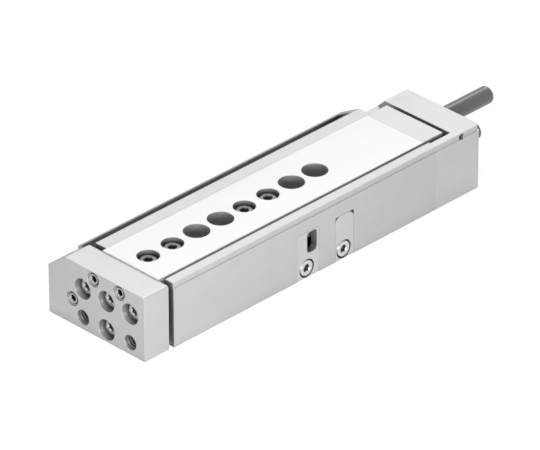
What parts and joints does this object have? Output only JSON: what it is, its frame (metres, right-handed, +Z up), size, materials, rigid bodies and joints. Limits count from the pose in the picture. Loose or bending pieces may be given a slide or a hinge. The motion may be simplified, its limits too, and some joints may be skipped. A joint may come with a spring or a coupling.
{
  "type": "pneumatic slide table",
  "caption": "Guided pneumatic slide table: a low rectangular body with a flush sliding table on ball cages, an end yoke plate and a rear shock absorber.",
  "frame": {"origin": "centre of the underside of the fixed body, housing and rear cap together; the yoke plate stands ahead of it at +X and 0.3 mm above the base plane", "axes": "+X along the table's extending stroke, towards the yoke plate; +Z up, out of the table; +Y towards the side with the two inserts"},
  "size_m": [0.1635, 0.0406, 0.0226],
  "materials": {
    "body_aluminium": "anodised, fine satin",
    "cap_aluminium": "anodised, fine satin",
    "yoke_aluminium": "anodised, fine satin",
    "block_aluminium": "anodised, fine satin",
    "insert_aluminium": "anodised, fine satin",
    "piston_aluminium": "turned",
    "table_steel": "finely ground",
    "bar_steel": "milled",
    "rod_steel": "ground and plated",
    "screw_steel": "plated",
    "ball_steel": "polished",
    "absorber_steel": "blackened, finely threaded",
    "bushing_bronze": "sintered",
    "cage_plastic": "matt",
    "seal_rubber": "matt",
    "bumper_rubber": "matt",
    "magnet": "nickel plated"
  },
  "bodies": {
    "fixed_body": {"housing": "body_aluminium", "rear_cap": "cap_aluminium", "cap_screws": "screw_steel", "duct_plug": "ball_steel", "rod_bushing": "bushing_bronze", "rod_seal": "seal_rubber", "rod_wiper": "seal_rubber", "spigot_o_ring": "seal_rubber", "duct_o_ring": "seal_rubber", "stop_bracket": "insert_aluminium", "extend_bumper": "bumper_rubber", "access_plate": "insert_aluminium", "insert_screws": "screw_steel", "absorber_body": "absorber_steel", "absorber_set_screw": "screw_steel", "stop_screw": "screw_steel"},
    "absorber_plunger": {"absorber_pin": "rod_steel"},
    "near_cage": {"cage_near": "cage_plastic", "balls_near": "ball_steel"},
    "far_cage": {"cage_far": "cage_plastic", "balls_far": "ball_steel"},
    "table": {"table_plate": "table_steel", "carriage_bar": "bar_steel", "rear_block": "block_aluminium", "yoke_plate": "yoke_aluminium", "table_screws": "screw_steel", "yoke_screws": "screw_steel", "rod_screw": "screw_steel", "jack_screws": "screw_steel", "travel_screw": "screw_steel", "block_screws": "screw_steel", "sensor_magnet": "magnet", "piston_rod": "rod_steel", "piston": "piston_aluminium", "piston_seals": "seal_rubber", "piston_nut": "screw_steel"}
  },
  "joints": [
    {"name": "table_slide", "type": "slide", "parent": "fixed_body", "child": "table", "axis": [1, 0, 0], "range_m": [0, 0.05]},
    {"name": "near_cage_slide", "type": "slide", "parent": "fixed_body", "child": "near_cage", "axis": [1, 0, 0], "range_m": [0, 0.025]},
    {"name": "far_cage_slide", "type": "slide", "parent": "fixed_body", "child": "far_cage", "axis": [1, 0, 0], "range_m": [0, 0.025]},
    {"name": "absorber_pin_slide", "type": "slide", "parent": "fixed_body", "child": "absorber_plunger", "axis": [1, 0, 0], "range_m": [-0.0035, 0], "stiffness_N_per_m": 200}
  ],
  "couplings": [
    {"joint": "near_cage_slide", "follows": "table_slide", "ratio": 0.5},
    {"joint": "far_cage_slide", "follows": "table_slide", "ratio": 0.5}
  ]
}
